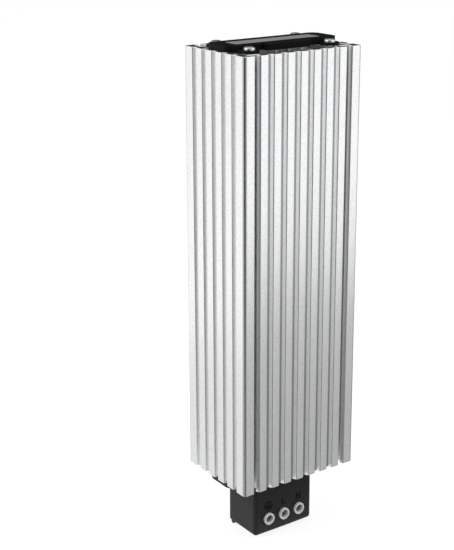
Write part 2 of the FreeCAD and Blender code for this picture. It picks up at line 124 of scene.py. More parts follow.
floor_z = cad_low.z - 0.0002
floor = sheet_object("floor", [(-3, -3, floor_z), (3, -3, floor_z), (3, 3, floor_z), (-3, 3, floor_z)])
paper = bpy.data.materials.new("white_paper")
paper.use_nodes = True
tree = paper.node_tree
tree.nodes.clear()
matt = add_node(tree, "ShaderNodeBsdfDiffuse")
matt.inputs["Color"].default_value = (0.28, 0.28, 0.28, 1)
glow = add_node(tree, "ShaderNodeEmission")
both = add_node(tree, "ShaderNodeAddShader")
output = add_node(tree, "ShaderNodeOutputMaterial")
join(tree, (seen_strength(tree, 0.84, 0.0), glow.inputs["Strength"]), (matt.outputs[0], both.inputs[0]),
     (glow.outputs[0], both.inputs[1]), (both.outputs[0], output.inputs["Surface"]))
floor.data.materials.append(paper)


# A card that is seen only in gloss, and the grey that it shows there.
def grey_card(name, corners, grey):
    card = sheet_object(name, corners)
    shade = bpy.data.materials.new(name)
    shade.use_nodes = True
    nodes = shade.node_tree
    nodes.nodes.clear()
    light = add_node(nodes, "ShaderNodeEmission")
    light.inputs["Strength"].default_value = grey
    end = add_node(nodes, "ShaderNodeOutputMaterial")
    join(nodes, (light.outputs[0], end.inputs["Surface"]))
    card.data.materials.append(shade)
    card.visible_camera = False
    card.visible_diffuse = False
    card.visible_shadow = False
    card.visible_transmission = False


floor_cards = {
    "dark_floor_card": ([(-0.36, -0.20), (-1.50, -0.42), (-0.60, -1.45), (-0.12, -0.40)], 0.02),
    "near_floor_card": ([(-0.06, -0.07), (-0.36, -0.20), (-0.12, -0.40), (-0.035, -0.09)], 0.22),
    "grey_floor_card": ([(-0.035, -0.051), (0.02, -0.43), (0.45, -0.38), (0.30, -0.03)], 0.46),
    "pale_floor_card": ([(-0.035, -0.051), (-0.035, 0.20), (-0.22, 0.24), (-0.26, -0.06)], 0.84),
}
card_z = floor_z + 0.0001
for name, (corners, grey) in floor_cards.items():
    grey_card(name, [(x, y, card_z) for x, y in corners], grey)
grey_card("dark_wall_card", [(-1.45, -0.35, -0.14), (-0.55, -1.45, -0.14), (-0.55, -1.45, 1.2),
                             (-1.45, -0.35, 1.2)], 0.02)
grey_card("dark_back_card", [(0.1, 1.4, 0.05), (1.4, 0.4, 0.05), (1.4, 0.4, 1.3), (0.1, 1.4, 1.3)], 0.02)


def soft_lamp(name, place, target, size, power):
    lamp = bpy.data.objects.new(name, bpy.data.lights.new(name, "AREA"))
    lamp.data.shape = "SQUARE"
    lamp.data.size = size
    lamp.data.energy = power
    lamp.location = place
    lamp.rotation_euler = (Vector(target) - Vector(place)).to_track_quat("-Z", "Y").to_euler()
    scene.collection.objects.link(lamp)


soft_lamp("key_lamp", (-0.95, 0.15, 0.75), (0, 0, 0), 0.7, 6.0)
soft_lamp("fill_lamp", (0.75, -0.85, 0.65), (0, 0, 0.05), 0.6, 5.0)


# The heatsink profile is one aluminium extrusion, saw-cut to length and anodised in its natural
# colour. The die leaves fine lines along it, and the cut ends are deburred to a thin bright rim.
def noise(tree, scale, detail=2.0, roughness=0.5):
    texture = add_node(tree, "ShaderNodeTexNoise")
    texture.inputs["Scale"].default_value = scale
    texture.inputs["Detail"].default_value = detail
    texture.inputs["Roughness"].default_value = roughness
    return texture


def value_range(tree, low, high, start=0.0, end=1.0):
    span = add_node(tree, "ShaderNodeMapRange")
    span.inputs["From Min"].default_value = start
    span.inputs["From Max"].default_value = end
    span.inputs["To Min"].default_value = low
    span.inputs["To Max"].default_value = high
    return span


# Multiplies colour A by colour B. A link to its factor says how much of B counts.
def multiplier(tree, **colours):
    product = add_node(tree, "ShaderNodeMix", data_type="RGBA", blend_type="MULTIPLY")
    product.inputs["Factor"].default_value = 1.0
    for side, colour in colours.items():
        product.inputs[side].default_value = (*colour, 1)
    return product


def bump_node(tree, depth, strength):
    bump = add_node(tree, "ShaderNodeBump")
    bump.inputs["Distance"].default_value = depth
    bump.inputs["Strength"].default_value = strength
    return bump


def stretched(tree, scale):
    mapping = add_node(tree, "ShaderNodeMapping")
    mapping.inputs["Scale"].default_value = scale
    return mapping


def anodised(name, colour, roughness, line_depth):
    material = bpy.data.materials.new(name)
    material.use_nodes = True
    tree = material.node_tree
    shader = tree.nodes["Principled BSDF"]
    shader.inputs["Metallic"].default_value = 1.0
    shader.inputs["IOR"].default_value = 1.5
    place = add_node(tree, "ShaderNodeTexCoord")
    lengthwise = stretched(tree, (2600, 2600, 14))
    lines = noise(tree, 1.0, 3.0)
    grain = noise(tree, 1700, 4.0, 0.7)
    cloud = noise(tree, 24, 4.0)
    tone = value_range(tree, 0.965, 1.0, 0.3, 0.7)
    speckle = value_range(tree, 0.78, 1.0, 0.32, 0.52)
    worn = value_range(tree, roughness - 0.05, roughness + 0.06)
    tint = multiplier(tree, A=colour)
    specked = multiplier(tree)
    # Painted shade: a point attribute of the section darkens the groove floors, the groove mouths and the long
    # rounded edges towards this grey.
    painted_shade_mix = multiplier(tree, B=(0.40, 0.41, 0.42))
    # Painted shade: the "sawn" attribute darkens the cut end faces towards this grey.
    cut_end_painted_shade = multiplier(tree, B=(0.42, 0.42, 0.43))
    shaded = add_node(tree, "ShaderNodeAttribute", attribute_name="painted_shade")
    ends = add_node(tree, "ShaderNodeAttribute", attribute_name="sawn")
    line_bump = bump_node(tree, line_depth, 0.5)
    grain_bump = bump_node(tree, 0.00003, 0.6)
    join(tree, (place.outputs["Object"], lengthwise.inputs["Vector"]),
         (lengthwise.outputs["Vector"], lines.inputs["Vector"]),
         (place.outputs["Object"], grain.inputs["Vector"]),
         (place.outputs["Object"], cloud.inputs["Vector"]),
         (lines.outputs["Fac"], tone.inputs["Value"]), (tone.outputs["Result"], tint.inputs["B"]),
         (tint.outputs["Result"], specked.inputs["A"]), (grain.outputs["Fac"], speckle.inputs["Value"]),
         (speckle.outputs["Result"], specked.inputs["B"]),
         (specked.outputs["Result"], painted_shade_mix.inputs["A"]), (shaded.outputs["Fac"], painted_shade_mix.inputs["Factor"]),
         (painted_shade_mix.outputs["Result"], cut_end_painted_shade.inputs["A"]), (ends.outputs["Fac"], cut_end_painted_shade.inputs["Factor"]),
         (cut_end_painted_shade.outputs["Result"], shader.inputs["Base Color"]),
         (cloud.outputs["Fac"], worn.inputs["Value"]),
         (worn.outputs["Result"], shader.inputs["Roughness"]),
         (lines.outputs["Fac"], line_bump.inputs["Height"]),
         (grain.outputs["Fac"], grain_bump.inputs["Height"]),
         (line_bump.outputs["Normal"], grain_bump.inputs["Normal"]),
         (grain_bump.outputs["Normal"], shader.inputs["Normal"]))
    return material


# Rounds the (x, y, radius) corners of a closed outline into points.
def rounded_outline(corners):
    points, steps = [], 6
    for i, (x, y, radius) in enumerate(corners):
        here = Vector((x, y))
        back = (Vector(corners[i - 1][:2]) - here).normalized()
        ahead = (Vector(corners[(i + 1) % len(corners)][:2]) - here).normalized()
        half = back.angle(ahead) / 2
        if radius <= 0 or half < 1e-3:
            points.append(here)
            continue
        start = here + back * radius / math.tan(half)
        centre = here + (back + ahead).normalized() * radius / math.sin(half)
        spoke = start - centre
        turn = (math.pi - 2 * half) * (1 if back.x * ahead.y - back.y * ahead.x < 0 else -1)
        for k in range(steps + 1):
            angle = turn * k / steps
            points.append(centre + Vector((spoke.x * math.cos(angle) - spoke.y * math.sin(angle),
                                           spoke.x * math.sin(angle) + spoke.y * math.cos(angle))))
    return points


# The loops of a section as one mesh of edges. Each point keeps the direction into the metal,
# which is to the left of an outline drawn anticlockwise and of a hole drawn clockwise, and how
# much painted shade darkens it.
def section_mesh(name, loops, painted_shade):
    points, edges, inward, shade_values = [], [], [], []
    for loop in loops:
        first = len(points)
        count = len(loop)
        for i, here in enumerate(loop):
            before = (here - loop[i - 1]).normalized()
            after = (loop[(i + 1) % count] - here).normalized()
            left = Vector((-before.y, before.x)) + Vector((-after.y, after.x))
            inward.append(tuple(left * (2 / max(left.length_squared, 0.5))) + (0.0,))
            points.append((here.x * MM, here.y * MM, 0.0))
            shade_values.append(painted_shade(here.x, here.y))
            edges.append((first + i, first + (i + 1) % count))
    mesh = bpy.data.meshes.new(name)
    mesh.from_pydata(points, edges, [])
    stored = mesh.attributes.new("into_metal", "FLOAT_VECTOR", "POINT")
    for i, direction in enumerate(inward):
        stored.data[i].vector = direction
    mesh.attributes.new("painted_shade", "FLOAT", "POINT").data.foreach_set("value", shade_values)
    return mesh


def tree_input(tree, name, kind, value=None):
    socket = tree.interface.new_socket(name=name, in_out="INPUT", socket_type=kind)
    if value is not None:
        socket.default_value = value
    return socket


# Extrudes a section along Z between two cut ends. Each end has a thin deburred rim, and its cut
# face carries the attribute "sawn".
def extrusion_tree():
    tree = bpy.data.node_groups.new("cut_extrusion", "GeometryNodeTree")
    tree_input(tree, "Section", "NodeSocketGeometry")
    for size in ("Lower End", "Length", "Deburr"):
        tree_input(tree, size, "NodeSocketFloat")
    tree_input(tree, "Material", "NodeSocketMaterial")
    tree.interface.new_socket(name="Extrusion", in_out="OUTPUT", socket_type="NodeSocketGeometry")
    given = add_node(tree, "NodeGroupInput")
    direction = add_node(tree, "GeometryNodeInputNamedAttribute", data_type="FLOAT_VECTOR")
    direction.inputs["Name"].default_value = "into_metal"
    inset = add_node(tree, "ShaderNodeVectorMath", operation="SCALE")
    outset = add_node(tree, "ShaderNodeVectorMath", operation="SCALE")
    outset.inputs["Scale"].default_value = -1.0
    step = add_node(tree, "ShaderNodeCombineXYZ")
    start = add_node(tree, "ShaderNodeCombineXYZ")
    twice = add_node(tree, "ShaderNodeMath", operation="MULTIPLY")
    twice.inputs[1].default_value = 2.0
    straight = add_node(tree, "ShaderNodeMath", operation="SUBTRACT")
    rise = add_node(tree, "ShaderNodeCombineXYZ")
    whole = add_node(tree, "ShaderNodeCombineXYZ")
    placed = add_node(tree, "GeometryNodeTransform")
    lip = add_node(tree, "GeometryNodeSetPosition")
    join(tree, (direction.outputs["Attribute"], inset.inputs[0]),
         (given.outputs["Deburr"], inset.inputs["Scale"]), (inset.outputs[0], outset.inputs[0]),
         (given.outputs["Deburr"], step.inputs["Z"]),
         (given.outputs["Lower End"], start.inputs["Z"]), (given.outputs["Deburr"], twice.inputs[0]),
         (given.outputs["Length"], straight.inputs[0]), (twice.outputs[0], straight.inputs[1]),
         (straight.outputs[0], rise.inputs["Z"]), (given.outputs["Length"], whole.inputs["Z"]),
         (given.outputs["Section"], placed.inputs["Geometry"]),
         (start.outputs[0], placed.inputs["Translation"]),
         (placed.outputs[0], lip.inputs["Geometry"]), (inset.outputs[0], lip.inputs["Offset"]))
    mesh, top = lip.outputs[0], None
    for lift, spread in ((step, outset), (rise, None), (step, inset)):
        wall = add_node(tree, "GeometryNodeExtrudeMesh", mode="EDGES")
        join(tree, (mesh, wall.inputs["Mesh"]), (lift.outputs[0], wall.inputs["Offset"]))
        if top:
            join(tree, (top, wall.inputs["Selection"]))
        mesh, top = wall.outputs["Mesh"], wall.outputs["Top"]
        if spread:
            moved = add_node(tree, "GeometryNodeSetPosition")
            join(tree, (mesh, moved.inputs["Geometry"]), (top, moved.inputs["Selection"]),
                 (spread.outputs[0], moved.inputs["Offset"]))
            mesh = moved.outputs[0]
    loops = add_node(tree, "GeometryNodeMeshToCurve")
    cut = add_node(tree, "GeometryNodeFillCurve")
    sawn = add_node(tree, "GeometryNodeStoreNamedAttribute", data_type="FLOAT", domain="FACE")
    sawn.inputs["Name"].default_value = "sawn"
    sawn.inputs["Value"].default_value = 1.0
    near_cut = add_node(tree, "GeometryNodeTransform")
    far_cut = add_node(tree, "GeometryNodeTransform")
    all_faces = add_node(tree, "GeometryNodeJoinGeometry")
    welded = add_node(tree, "GeometryNodeMergeByDistance")
    welded.inputs["Distance"].default_value = 1e-6
    finish = add_node(tree, "GeometryNodeSetMaterial")
    realised = add_node(tree, "GeometryNodeRealizeInstances")
    result = add_node(tree, "NodeGroupOutput")
    join(tree, (lip.outputs[0], loops.inputs["Mesh"]), (loops.outputs["Curve"], cut.inputs["Curve"]),
         (cut.outputs["Mesh"], sawn.inputs["Geometry"]), (sawn.outputs[0], near_cut.inputs["Geometry"]),
         (start.outputs[0], near_cut.inputs["Translation"]),
         (near_cut.outputs[0], far_cut.inputs["Geometry"]), (whole.outputs[0], far_cut.inputs["Translation"]),
         (near_cut.outputs[0], all_faces.inputs[0]), (far_cut.outputs[0], all_faces.inputs[0]),
         (mesh, all_faces.inputs[0]), (all_faces.outputs[0], realised.inputs[0]),
         (realised.outputs[0], welded.inputs["Geometry"]), (welded.outputs[0], finish.inputs["Geometry"]),
         (given.outputs["Material"], finish.inputs["Material"]), (finish.outputs[0], result.inputs[0]))
    return tree


# Runs a tree on a mesh and gives a plain piece, its faces outwards and its hard edges marked.
def grown_piece(name, mesh, tree, values, outward=True):
    piece = bpy.data.objects.new(name, mesh)
    scene.collection.objects.link(piece)
    growth = piece.modifiers.new("growth", "NODES")
    growth.node_group = tree
    for socket in tree.interface.items_tree:
        if socket.item_type == "SOCKET" and socket.in_out == "INPUT" and socket.name in values:
            growth[socket.identifier] = values[socket.name]
    bpy.context.view_layer.update()
    plain = bpy.data.meshes.new_from_object(piece.evaluated_get(bpy.context.evaluated_depsgraph_get()))
    piece.modifiers.clear()
    piece.data = plain
    plain.name = name
    if outward:
        shell = bmesh.new()
        shell.from_mesh(plain)
        bmesh.ops.recalc_face_normals(shell, faces=shell.faces)
        shell.to_mesh(plain)
        shell.free()
    plain.shade_smooth()
    plain.set_sharp_from_angle(angle=math.radians(30))
    return piece


# The outline of the profile: sloping grooves along all four sides, and a T-slot in the first and
# last groove of the broad sides.
half_width, half_depth, edge_radius = 35.0, 25.0, 1.7
front_places = [-27.3 + 7.8 * i for i in range(8)]
side_places = [-16.4 + 8.2 * i for i in range(5)]
slot_place = front_places[-1]
mouth_half, mouth_radius = 1.7, 0.6
floor_half, groove_depth, floor_radius = 0.8, 2.1, 0.3
lip_half, lip_depth, lip_radius = 0.7, 2.05, 0.15
slot_half, slot_depth = 2.9, 5.05


def side_corners(half_side, places):
    corners = [(-half_side, 0.0, edge_radius)]
    for place in places:
        half = [(mouth_half, 0.0, mouth_radius), (floor_half, groove_depth, floor_radius)]
        if place in (front_places[0], slot_place):
            half = [half[0], (lip_half, lip_depth, lip_radius), (slot_half, lip_depth, lip_radius),
                    (slot_half, slot_depth, floor_radius)]
        corners += [(place - s, d, r) for s, d, r in half]
        corners += [(place + s, d, r) for s, d, r in reversed(half)]
    return corners


front = side_corners(half_width, front_places)
side = side_corners(half_depth, side_places)
outline = [(s, d - half_depth, r) for s, d, r in front]
outline += [(half_width - d, s, r) for s, d, r in side]
outline += [(-s, half_depth - d, r) for s, d, r in front]
outline += [(d - half_width, -s, r) for s, d, r in side]

# The air channels of the front half. Each screw port has a boss on a web between two of them: a
# narrow channel at the side, and the middle one with three fins.
port_x, port_y, port_radius = 24.0, 13.5, 1.6
boss_radius, half_web = 3.6, 1.2
channel_back, channel_front, beside_slot, side_wall_x = -6.5, -21.2, -18.15, 31.2
middle_half, fin_pitch, fin_half, fin_tip = 22.6, 7.8, 0.9, -13.0


# The edge of a channel along the web and round the boss, on the outer side (1) or the inner (-1).
def past_port(side):
    start = math.asin(half_web / boss_radius)
    reach = port_x + side * half_web
    points = [Vector((reach, channel_back))]
    for k in range(13):
        angle = math.pi / 2 - start - k * (math.pi - 2 * start) / 12
        points.append(Vector((port_x + side * boss_radius * math.cos(angle),
                              boss_radius * math.sin(angle) - port_y)))
    return points + [Vector((reach, beside_slot))]


def mirrored(loop):
    return [Vector((-p.x, p.y)) for p in reversed(loop)]


def half_turned(loop):
    return [Vector((-p.x, -p.y)) for p in loop]


def port_circle(x, y):
    angles = [2 * math.pi * k / 28 for k in range(28)]
    return [Vector((x + port_radius * math.cos(a), y - port_radius * math.sin(a))) for a in angles]


side_channel = past_port(1) + [Vector((side_wall_x, beside_slot)), Vector((side_wall_x, channel_back))]
middle_channel = past_port(-1)
middle_channel += [Vector((x, y)) for x, y in ((middle_half, beside_slot), (middle_half, channel_front),
                                               (-middle_half, channel_front), (-middle_half, beside_slot))]
middle_channel += mirrored(past_port(-1))
for x in (-fin_pitch, 0.0, fin_pitch):
    middle_channel += [Vector((x - fin_half, channel_back)), Vector((x - fin_half, fin_tip)),
                       Vector((x + fin_half, fin_tip)), Vector((x + fin_half, channel_back))]


# How much painted shade darkens the anodising at a point: most on the floors of the grooves, and
# on the rounded mouths and long edges. The T-slots and the air channels keep the plain colour.
def painted_shade(x, y):
    depth = min(half_width - abs(x), half_depth - abs(y))
    skin, mouth_depth, rounded_shade = 0.02, 0.36, 0.9
    if abs(x) > half_width - 2 and abs(y) > half_depth - 2:
        return rounded_shade if depth > skin else 0.0
    floor_start, floor_blend = groove_depth - 0.17, 0.12
    if floor_start < depth < groove_depth + 0.1 and abs(abs(x) - slot_place) > slot_half + 0.1:
        return min((depth - floor_start) / floor_blend, 1.0)
    return rounded_shade if skin < depth < mouth_depth and abs(y) > half_depth - 1 else 0.0


# Turns a loop to run clockwise, as a hole does.
def as_hole(loop):
    area = sum(loop[i - 1].x * p.y - p.x * loop[i - 1].y for i, p in enumerate(loop))
    return loop[::-1] if area > 0 else loop


stack_chamber = [(-27.0, -3.5, 0.8), (27.0, -3.5, 0.8), (27.0, 3.5, 0.8), (-27.0, 3.5, 0.8)]
channels = [side_channel, mirrored(side_channel), middle_channel]
holes = [as_hole(loop) for loop in channels] + [as_hole(half_turned(loop)) for loop in channels]
holes += [as_hole(rounded_outline(stack_chamber))]
holes += [as_hole(port_circle(x, y)) for x in (-port_x, port_x) for y in (-port_y, port_y)]
section = section_mesh("profile_section", [rounded_outline(outline)] + holes, painted_shade)
profile_y = -26.0 * MM
section.transform(Matrix.Translation((0, profile_y, 0)))
aluminium = anodised("natural_anodising", (0.93, 0.935, 0.94), 0.30, 0.000012)
profile = grown_piece("heatsink_extrusion", section, extrusion_tree(),
                      {"Lower End": -0.110, "Length": 0.220, "Deburr": 0.00022, "Material": aluminium})
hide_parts("heatsink_profile")
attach(profile, "root")


# The top cap, the terminal box and its cover are black moulded plastic with a fine matt spark
# texture. Their edges are rounded a little, as a mould leaves them.
def moulded_black(name, colour, roughness, gloss):
    material = bpy.data.materials.new(name)
    material.use_nodes = True
    tree = material.node_tree
    shader = tree.nodes["Principled BSDF"]
    shader.inputs["Specular IOR Level"].default_value = gloss
    place = add_node(tree, "ShaderNodeTexCoord")
    spark = noise(tree, 3800, 3.0)
    flow = noise(tree, 55)
    tone = value_range(tree, 0.8, 1.25)
    tint = multiplier(tree, A=colour)
    shine = value_range(tree, roughness - 0.06, roughness + 0.06)
    bump = bump_node(tree, 0.00003, 0.6)
    join(tree, (place.outputs["Object"], spark.inputs["Vector"]),
         (place.outputs["Object"], flow.inputs["Vector"]),
         (spark.outputs["Fac"], tone.inputs["Value"]), (tone.outputs["Result"], tint.inputs["B"]),
         (tint.outputs["Result"], shader.inputs["Base Color"]), (flow.outputs["Fac"], shine.inputs["Value"]),
         (shine.outputs["Result"], shader.inputs["Roughness"]), (spark.outputs["Fac"], bump.inputs["Height"]),
         (bump.outputs["Normal"], shader.inputs["Normal"]))
    return material


# A copy of a CAD solid with its triangles joined into faces and its edges rounded.
def softened(name, node, radius, material, reshape=None):
    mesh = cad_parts[node].data.copy()
    shell = bmesh.new()
    shell.from_mesh(mesh)
    bmesh.ops.remove_doubles(shell, verts=shell.verts, dist=2e-6)
    bmesh.ops.dissolve_limit(shell, angle_limit=math.radians(0.4), verts=shell.verts, edges=shell.edges)
    if reshape:
        reshape(shell)
    shell.to_mesh(mesh)
    shell.free()
    mesh.materials.clear()
    mesh.materials.append(material)
    piece = bpy.data.objects.new(name, mesh)
    scene.collection.objects.link(piece)
    edges = piece.modifiers.new("edges", "BEVEL")
    edges.width = radius
    edges.segments = 2
    edges.limit_method = "ANGLE"
    edges.angle_limit = math.radians(28)
    shading = piece.modifiers.new("shading", "WEIGHTED_NORMAL")
    shading.keep_sharp = True
    mesh.shade_smooth()
    bpy.context.view_layer.update()
    plain = bpy.data.meshes.new_from_object(piece.evaluated_get(bpy.context.evaluated_depsgraph_get()))
    piece.modifiers.clear()
    piece.data = plain
    plain.name = name
    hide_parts(node)
    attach(piece, "root")


# Rounds the two lower front corners of the terminal housing like a ball, in a finer net of faces.
def round_foot_corners(shell):
    ball = 2.0 * MM
    centre = Vector((16.6, -35.5, -142.0)) * MM
    for place, normal in ((centre, (1, 0, 0)), (-centre, (1, 0, 0)), (centre, (0, 1, 0)),
                          (centre, (0, 0, 1))):
        everything = shell.verts[:] + shell.edges[:] + shell.faces[:]
        bmesh.ops.bisect_plane(shell, geom=everything, dist=1e-7, plane_co=place, plane_no=normal)

    def in_corner(vert):
        return abs(vert.co.x) > centre.x - 1e-6 and vert.co.y < centre.y + 1e-6 and vert.co.z < centre.z + 1e-6

    corner = [face for face in shell.faces if all(in_corner(vert) for vert in face.verts)]
    cut = bmesh.ops.triangulate(shell, faces=corner)
    inner_edges = list({edge for face in cut["faces"] for edge in face.edges})
    bmesh.ops.subdivide_edges(shell, edges=inner_edges, cuts=2, use_grid_fill=True)
    for vert in shell.verts:
        if in_corner(vert):
            middle = Vector((math.copysign(centre.x, vert.co.x), centre.y, centre.z))
            spoke = vert.co - middle
            if spoke.length > ball:
                vert.co = middle + spoke * (ball / spoke.length)


black = moulded_black("black_moulding", (0.012, 0.012, 0.0125), 0.46, 0.27)
cap_black = moulded_black("cap_moulding", (0.006, 0.006, 0.0062), 0.42, 0.05)
softened("top_end_cap", "top_cap", 0.00035, cap_black)
softened("terminal_box", "terminal_housing", 0.0003, black, reshape=round_foot_corners)
softened("terminal_box_cover", "housing_cover", 0.0002, black)


# A thin bare foil plate lies in the recess of the top cap. Its upper side is matt silver grey,
# brushed along its length.
def grained(name, colour, metal, scale, detail, tones, gloss):
    material = bpy.data.materials.new(name)
    material.use_nodes = True
    tree = material.node_tree
    shader = tree.nodes["Principled BSDF"]
    shader.inputs["Metallic"].default_value = metal
    place = add_node(tree, "ShaderNodeTexCoord")
    drawn = stretched(tree, scale)
    grain = noise(tree, 1.0, detail)
    tone = value_range(tree, *tones)
    tint = multiplier(tree, A=colour)
    shine = value_range(tree, *gloss)
    join(tree, (place.outputs["Object"], drawn.inputs["Vector"]), (drawn.outputs[0], grain.inputs["Vector"]),
         (grain.outputs["Fac"], tone.inputs["Value"]), (tone.outputs["Result"], tint.inputs["B"]),
         (tint.outputs["Result"], shader.inputs["Base Color"]), (grain.outputs["Fac"], shine.inputs["Value"]),
         (shine.outputs["Result"], shader.inputs["Roughness"]))
    return material


silver_foil = grained("silver_foil", (0.36, 0.36, 0.36), 0.35, (90, 5200, 5200), 2.0, (0.9, 1.08), (0.38, 0.5))
softened("rating_foil", "label_plate", 0.0001, silver_foil)


# The terminal strip is one natural polyamide moulding, milky and a little translucent. Three
# round towers of it stand out of the housing, round the clamp screws.
def milky_polyamide():
    material = bpy.data.materials.new("natural_polyamide")
    material.use_nodes = True
    tree = material.node_tree
    shader = tree.nodes["Principled BSDF"]
    shader.inputs["Subsurface Weight"].default_value = 0.08
    shader.inputs["Subsurface Scale"].default_value = 0.001
    place = add_node(tree, "ShaderNodeTexCoord")
    cloud = noise(tree, 260)
    tone = add_node(tree, "ShaderNodeMix", data_type="RGBA")
    tone.inputs["A"].default_value = (0.88, 0.88, 0.86, 1)
    tone.inputs["B"].default_value = (0.94, 0.94, 0.93, 1)
    shine = value_range(tree, 0.34, 0.46)
    join(tree, (place.outputs["Object"], cloud.inputs["Vector"]), (cloud.outputs["Fac"], tone.inputs["Factor"]),
         (tone.outputs["Result"], shader.inputs["Base Color"]), (cloud.outputs["Fac"], shine.inputs["Value"]),
         (shine.outputs["Result"], shader.inputs["Roughness"]))
    return material


softened("clamp_strip", "terminal_strip", 0.0002, milky_polyamide())


# The parts made of sheet and rod metal: the rail clip, the screws, the clamps and the strap.
# Each has its own colour and polish, with faint drawing lines or blotches of plating.
def plain_metal(name, colour, roughness, scale=(600, 600, 600), spread=0.12, metal=1.0):
    return grained(name, colour, metal, scale, 4.0, (1.0 - spread, 1.0), (roughness - 0.06, roughness + 0.08))


zinc = plain_metal("bright_zinc", (0.40, 0.43, 0.44), 0.32)
spring = plain_metal("spring_steel", (0.50, 0.50, 0.51), 0.34, (900, 900, 60))
softened("rail_spring_clip", "rail_clip", 0.00012, spring)


# Thread-forming screws with a domed head and a cross recess, and clamp screws with a slot. One
# tree sets a screw at each place of a row, turns it as the screwdriver left it, and cuts it.
def lathe(name, rings):
    shell = bmesh.new()
    spine = [shell.verts.new((radius * MM, 0, height * MM)) for radius, height in rings]
    for a, b in zip(spine, spine[1:]):
        shell.edges.new((a, b))
    bmesh.ops.spin(shell, geom=shell.verts[:] + shell.edges[:], axis=(0, 0, 1), cent=(0, 0, 0),
                   angle=2 * math.pi, steps=40, use_merge=True)
    bmesh.ops.remove_doubles(shell, verts=shell.verts, dist=1e-6)
    bmesh.ops.recalc_face_normals(shell, faces=shell.faces)
    mesh = bpy.data.meshes.new(name)
    shell.to_mesh(mesh)
    shell.free()
    return mesh


def screw_row_tree():
    tree = bpy.data.node_groups.new("screw_rows", "GeometryNodeTree")
    tree_input(tree, "Screw", "NodeSocketGeometry")
    for name in ("Slot Length", "Slot Width", "Slot Depth", "Head Top"):
        tree_input(tree, name, "NodeSocketFloat")
    for name in ("Slots", "Across", "Along", "Seed"):
        tree_input(tree, name, "NodeSocketInt", 1)
    for name in ("Start", "Across Step", "Along Step", "Turn"):
        tree_input(tree, name, "NodeSocketVector")
    tree_input(tree, "Twist", "NodeSocketFloat")
    tree_input(tree, "Material", "NodeSocketMaterial")
    tree.interface.new_socket(name="Screws", in_out="OUTPUT", socket_type="NodeSocketGeometry")
    given = add_node(tree, "NodeGroupInput")
    size = add_node(tree, "ShaderNodeCombineXYZ")
    bar = add_node(tree, "GeometryNodeMeshCube")
    lift = add_node(tree, "ShaderNodeCombineXYZ")
    stations = add_node(tree, "GeometryNodeMeshLine")
    stations.inputs["Offset"].default_value = (0, 0, 0)
    which = add_node(tree, "GeometryNodeInputIndex")
    quarter = add_node(tree, "ShaderNodeMath", operation="MULTIPLY")
    quarter.inputs[1].default_value = math.pi / 2
    turned = add_node(tree, "ShaderNodeCombineXYZ")
    bars = add_node(tree, "GeometryNodeInstanceOnPoints")
    solid_bars = add_node(tree, "GeometryNodeRealizeInstances")
    cut = add_node(tree, "GeometryNodeMeshBoolean", operation="DIFFERENCE")
    cut.solver = "EXACT"
    cut.inputs["Self Intersection"].default_value = True
    join(tree, (given.outputs["Slot Length"], size.inputs["X"]),
         (given.outputs["Slot Width"], size.inputs["Y"]), (given.outputs["Slot Depth"], size.inputs["Z"]),
         (size.outputs[0], bar.inputs["Size"]),
         (given.outputs["Head Top"], lift.inputs["Z"]), (given.outputs["Slots"], stations.inputs["Count"]),
         (lift.outputs[0], stations.inputs["Start Location"]), (which.outputs[0], quarter.inputs[0]),
         (quarter.outputs[0], turned.inputs["Z"]), (stations.outputs[0], bars.inputs["Points"]),
         (bar.outputs["Mesh"], bars.inputs["Instance"]), (turned.outputs[0], bars.inputs["Rotation"]),
         (bars.outputs[0], solid_bars.inputs[0]), (given.outputs["Screw"], cut.inputs["Mesh 1"]),
         (solid_bars.outputs[0], cut.inputs["Mesh 2"]))
    across = add_node(tree, "GeometryNodeMeshLine")
    along = add_node(tree, "GeometryNodeMeshLine")
    rows = add_node(tree, "GeometryNodeInstanceOnPoints")
    places = add_node(tree, "GeometryNodeRealizeInstances")
    chance = add_node(tree, "FunctionNodeRandomValue", data_type="FLOAT")
    less = add_node(tree, "ShaderNodeMath", operation="MULTIPLY")
    less.inputs[1].default_value = -1.0
    twist = add_node(tree, "ShaderNodeCombineXYZ")
    screws = add_node(tree, "GeometryNodeInstanceOnPoints")
    facing = add_node(tree, "FunctionNodeEulerToRotation")
    spun = add_node(tree, "FunctionNodeRotateRotation", rotation_space="LOCAL")
    own = add_node(tree, "FunctionNodeEulerToRotation")
    real = add_node(tree, "GeometryNodeRealizeInstances")
    finish = add_node(tree, "GeometryNodeSetMaterial")
    result = add_node(tree, "NodeGroupOutput")
    join(tree, (given.outputs["Across"], across.inputs["Count"]),
         (given.outputs["Across Step"], across.inputs["Offset"]),
         (given.outputs["Start"], across.inputs["Start Location"]),
         (given.outputs["Along"], along.inputs["Count"]), (given.outputs["Along Step"], along.inputs["Offset"]),
         (along.outputs[0], rows.inputs["Points"]),
         (across.outputs[0], rows.inputs["Instance"]), (rows.outputs[0], places.inputs[0]),
         (given.outputs["Twist"], chance.inputs[3]), (given.outputs["Twist"], less.inputs[0]),
         (less.outputs[0], chance.inputs[2]), (given.outputs["Seed"], chance.inputs["Seed"]),
         (chance.outputs[1], twist.inputs["Z"]), (given.outputs["Turn"], facing.inputs[0]),
         (twist.outputs[0], own.inputs[0]), (facing.outputs[0], spun.inputs["Rotation"]),
         (own.outputs[0], spun.inputs["Rotate By"]), (places.outputs[0], screws.inputs["Points"]),
         (cut.outputs["Mesh"], screws.inputs["Instance"]), (spun.outputs[0], screws.inputs["Rotation"]),
         (screws.outputs[0], real.inputs[0]), (real.outputs[0], finish.inputs["Geometry"]),
         (given.outputs["Material"], finish.inputs["Material"]), (finish.outputs[0], result.inputs[0]))
    return tree


